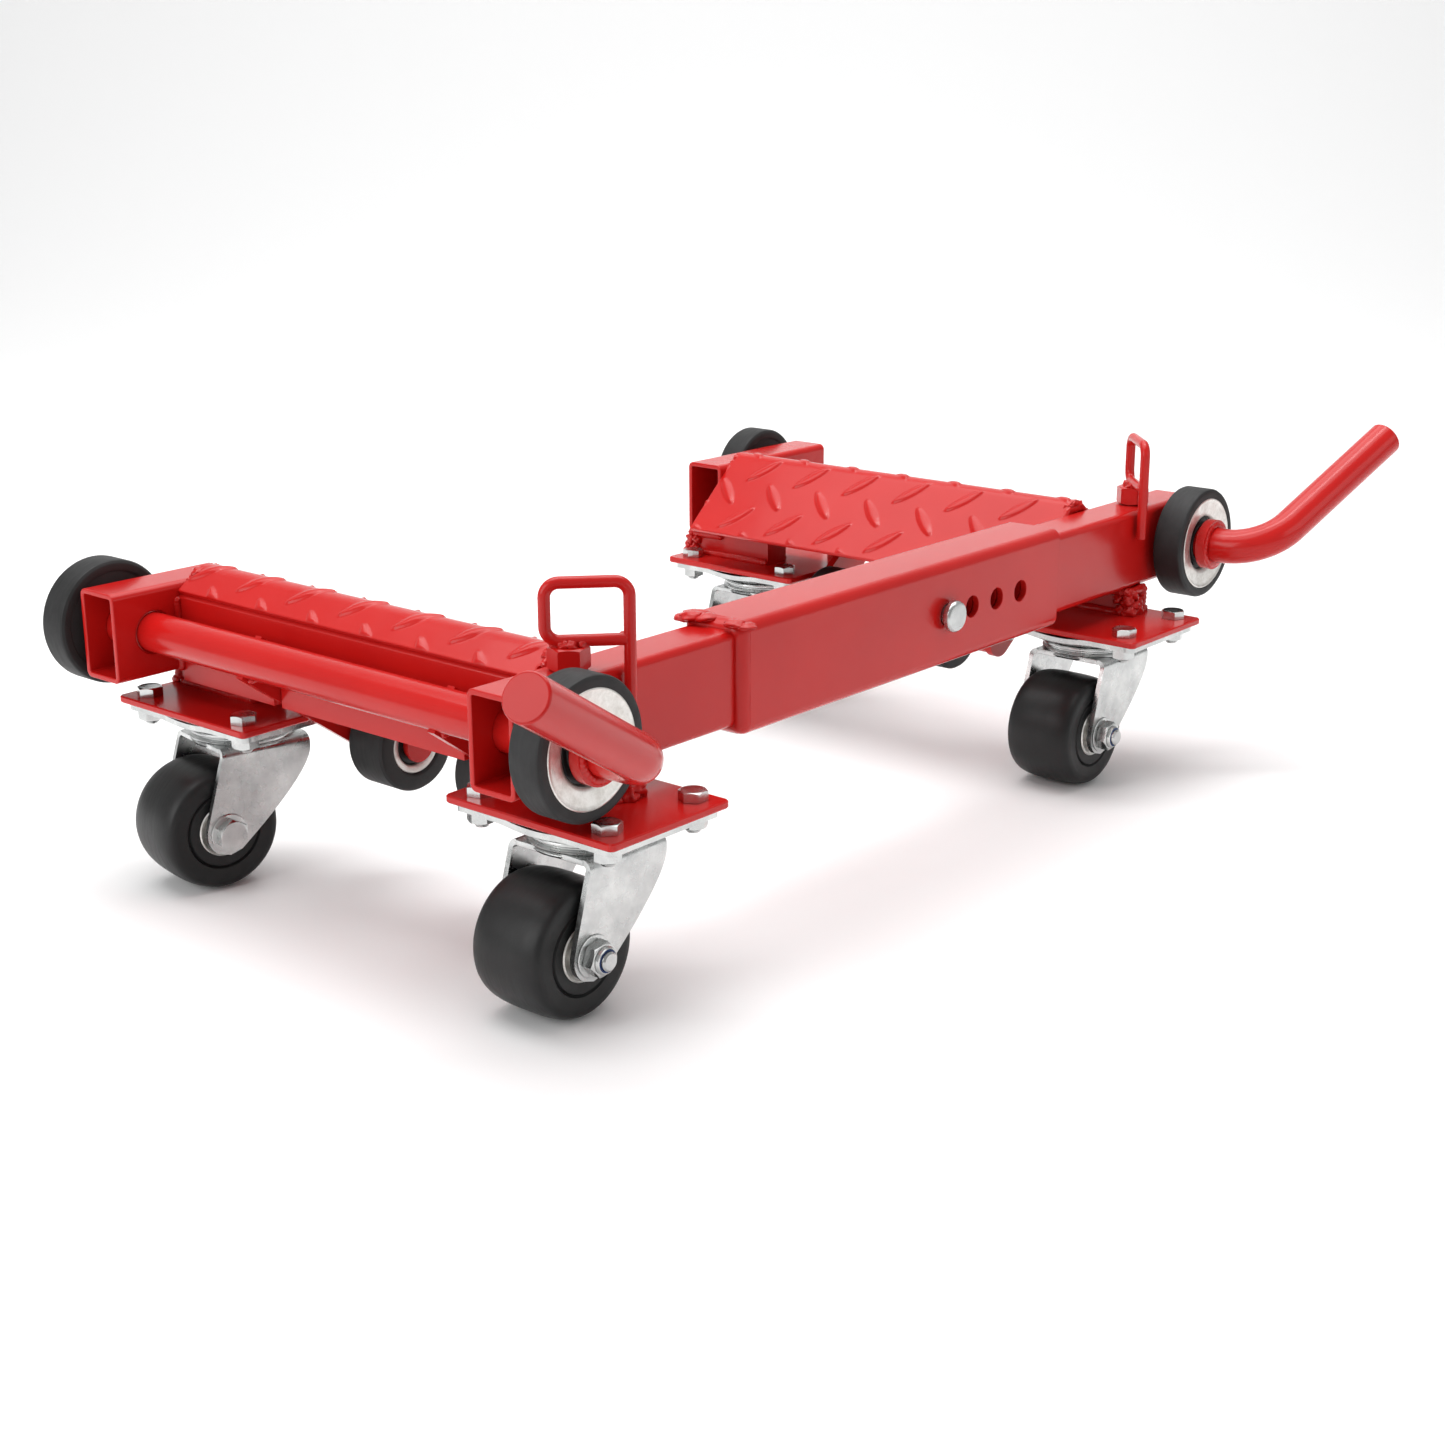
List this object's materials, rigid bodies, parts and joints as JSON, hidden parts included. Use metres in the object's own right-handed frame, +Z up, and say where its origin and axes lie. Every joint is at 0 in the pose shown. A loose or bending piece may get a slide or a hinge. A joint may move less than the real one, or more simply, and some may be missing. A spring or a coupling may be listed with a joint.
{
  "type": "wheel dolly",
  "caption": "Telescoping wheel dolly on swivel casters: a tyre rests between two sloping tread plates; side shafts with handles swing small rollers beneath.",
  "frame": {"origin": "middle of the overall box, on the floor", "axes": "+X along the cross-beam towards the arm with the adjusting holes, +Y from the cross-beam towards the open rear of the arms, +Z up"},
  "size_m": [0.7982, 0.4718, 0.2145],
  "materials": {
    "red_paint": "glossy red powder coat",
    "zinc": "bright zinc plate",
    "bright_steel": "turned, slightly mottled bright steel",
    "wheel_rubber": "satin black with faint turning marks",
    "roller_rubber": "satin black",
    "end_tyre": "matt black moulded tyre",
    "nylon": "black nylon"
  },
  "bodies": {
    "frame": {"beam_sleeve": "red_paint", "left_beam": "red_paint", "left_rear_tube": "red_paint", "left_rail": "red_paint", "left_tread_plate": "red_paint", "left_mount_plates": "red_paint", "left_caster_bolts": "zinc", "left_shaft_bushes": "red_paint", "front_left_caster_plate": "zinc", "front_left_caster_kingpin": "zinc", "rear_left_caster_plate": "zinc", "rear_left_caster_kingpin": "zinc"},
    "right_half": {"right_beam": "red_paint", "right_rear_tube": "red_paint", "right_rail": "red_paint", "right_tread_plate": "red_paint", "right_mount_plates": "red_paint", "right_caster_bolts": "zinc", "right_shaft_bushes": "red_paint", "front_right_caster_plate": "zinc", "front_right_caster_kingpin": "zinc", "rear_right_caster_plate": "zinc", "rear_right_caster_kingpin": "zinc"},
    "left_turning_shaft": {"left_shaft": "red_paint", "left_handle": "red_paint", "left_crank": "red_paint"},
    "right_turning_shaft": {"right_shaft": "red_paint", "right_handle": "red_paint", "right_crank": "red_paint"},
    "front_left_end_wheel": {"front_left_end_wheel_tyre": "end_tyre", "front_left_end_wheel_hub": "bright_steel"},
    "rear_left_end_wheel": {"rear_left_end_wheel_tyre": "end_tyre", "rear_left_end_wheel_hub": "bright_steel"},
    "front_right_end_wheel": {"front_right_end_wheel_tyre": "end_tyre", "front_right_end_wheel_hub": "bright_steel"},
    "rear_right_end_wheel": {"rear_right_end_wheel_tyre": "end_tyre", "rear_right_end_wheel_hub": "bright_steel"},
    "left_front_roller": {"left_front_roller": "roller_rubber"},
    "left_rear_roller": {"left_rear_roller": "roller_rubber"},
    "right_front_roller": {"right_front_roller": "roller_rubber"},
    "right_rear_roller": {"right_rear_roller": "roller_rubber"},
    "front_left_swivel": {"front_left_caster_fork": "zinc", "front_left_caster_axle_bolt": "zinc"},
    "front_left_wheel": {"front_left_caster_wheel": "wheel_rubber", "front_left_caster_bush": "zinc"},
    "rear_left_swivel": {"rear_left_caster_fork": "zinc", "rear_left_caster_axle_bolt": "zinc"},
    "rear_left_wheel": {"rear_left_caster_wheel": "wheel_rubber", "rear_left_caster_bush": "zinc"},
    "front_right_swivel": {"front_right_caster_fork": "zinc", "front_right_caster_axle_bolt": "zinc"},
    "front_right_wheel": {"front_right_caster_wheel": "wheel_rubber", "front_right_caster_bush": "zinc"},
    "rear_right_swivel": {"rear_right_caster_fork": "zinc", "rear_right_caster_axle_bolt": "zinc"},
    "rear_right_wheel": {"rear_right_caster_wheel": "wheel_rubber", "rear_right_caster_bush": "zinc"},
    "left_lock": {"left_lock_pin": "red_paint"},
    "right_lock": {"right_lock_pin": "red_paint"},
    "pin": {"adjusting_pin": "zinc"}
  },
  "joints": [
    {"name": "width_slide", "type": "slide", "parent": "frame", "child": "right_half", "axis": [1, 0, 0], "range_m": [0, 0.075]},
    {"name": "left_shaft_turn", "type": "hinge", "parent": "frame", "child": "left_turning_shaft", "pos_m": [-0.286, 0.03614, 0.143], "axis": [0, 1, 0], "range_deg": [0, 54]},
    {"name": "right_shaft_turn", "type": "hinge", "parent": "right_half", "child": "right_turning_shaft", "pos_m": [0.286, 0.03614, 0.143], "axis": [0, -1, 0], "range_deg": [0, 54]},
    {"name": "front_left_end_wheel_spin", "type": "hinge", "parent": "left_turning_shaft", "child": "front_left_end_wheel", "pos_m": [-0.286, -0.14726, 0.143], "axis": [0, 1, 0], "continuous": true},
    {"name": "rear_left_end_wheel_spin", "type": "hinge", "parent": "left_turning_shaft", "child": "rear_left_end_wheel", "pos_m": [-0.286, 0.21954, 0.143], "axis": [0, 1, 0], "continuous": true},
    {"name": "front_right_end_wheel_spin", "type": "hinge", "parent": "right_turning_shaft", "child": "front_right_end_wheel", "pos_m": [0.286, -0.14726, 0.143], "axis": [0, 1, 0], "continuous": true},
    {"name": "rear_right_end_wheel_spin", "type": "hinge", "parent": "right_turning_shaft", "child": "rear_right_end_wheel", "pos_m": [0.286, 0.21954, 0.143], "axis": [0, 1, 0], "continuous": true},
    {"name": "left_front_roller_spin", "type": "hinge", "parent": "left_turning_shaft", "child": "left_front_roller", "pos_m": [-0.20024, -0.02246, 0.0807], "axis": [0, 1, 0], "continuous": true},
    {"name": "left_rear_roller_spin", "type": "hinge", "parent": "left_turning_shaft", "child": "left_rear_roller", "pos_m": [-0.20024, 0.06074, 0.0807], "axis": [0, 1, 0], "continuous": true},
    {"name": "right_front_roller_spin", "type": "hinge", "parent": "right_turning_shaft", "child": "right_front_roller", "pos_m": [0.20024, -0.02246, 0.0807], "axis": [0, 1, 0], "continuous": true},
    {"name": "right_rear_roller_spin", "type": "hinge", "parent": "right_turning_shaft", "child": "right_rear_roller", "pos_m": [0.20024, 0.06074, 0.0807], "axis": [0, 1, 0], "continuous": true},
    {"name": "front_left_swivel_turn", "type": "hinge", "parent": "frame", "child": "front_left_swivel", "pos_m": [-0.249, -0.11686, 0.08], "axis": [0, 0, 1], "continuous": true},
    {"name": "front_left_wheel_spin", "type": "hinge", "parent": "front_left_swivel", "child": "front_left_wheel", "pos_m": [-0.275, -0.11686, 0.035], "axis": [0, 1, 0], "continuous": true},
    {"name": "rear_left_swivel_turn", "type": "hinge", "parent": "frame", "child": "rear_left_swivel", "pos_m": [-0.249, 0.15114, 0.08], "axis": [0, 0, 1], "continuous": true},
    {"name": "rear_left_wheel_spin", "type": "hinge", "parent": "rear_left_swivel", "child": "rear_left_wheel", "pos_m": [-0.2746, 0.15566, 0.035], "axis": [0.1736, 0.9848, 0], "continuous": true},
    {"name": "front_right_swivel_turn", "type": "hinge", "parent": "right_half", "child": "front_right_swivel", "pos_m": [0.214, -0.11686, 0.08], "axis": [0, 0, 1], "continuous": true},
    {"name": "front_right_wheel_spin", "type": "hinge", "parent": "front_right_swivel", "child": "front_right_wheel", "pos_m": [0.188, -0.11686, 0.035], "axis": [0, 1, 0], "continuous": true},
    {"name": "rear_right_swivel_turn", "type": "hinge", "parent": "right_half", "child": "rear_right_swivel", "pos_m": [0.214, 0.15114, 0.08], "axis": [0, 0, 1], "continuous": true},
    {"name": "rear_right_wheel_spin", "type": "hinge", "parent": "rear_right_swivel", "child": "rear_right_wheel", "pos_m": [0.188, 0.15114, 0.035], "axis": [0, 1, 0], "continuous": true},
    {"name": "left_lock_pull", "type": "slide", "parent": "frame", "child": "left_lock", "axis": [0, 0, 1], "range_m": [0, 0.06]},
    {"name": "right_lock_pull", "type": "slide", "parent": "right_half", "child": "right_lock", "axis": [0, 0, 1], "range_m": [0, 0.06]},
    {"name": "adjusting_pin_pull", "type": "slide", "parent": "frame", "child": "pin", "axis": [0, -1, 0], "range_m": [0, 0.062]}
  ]
}
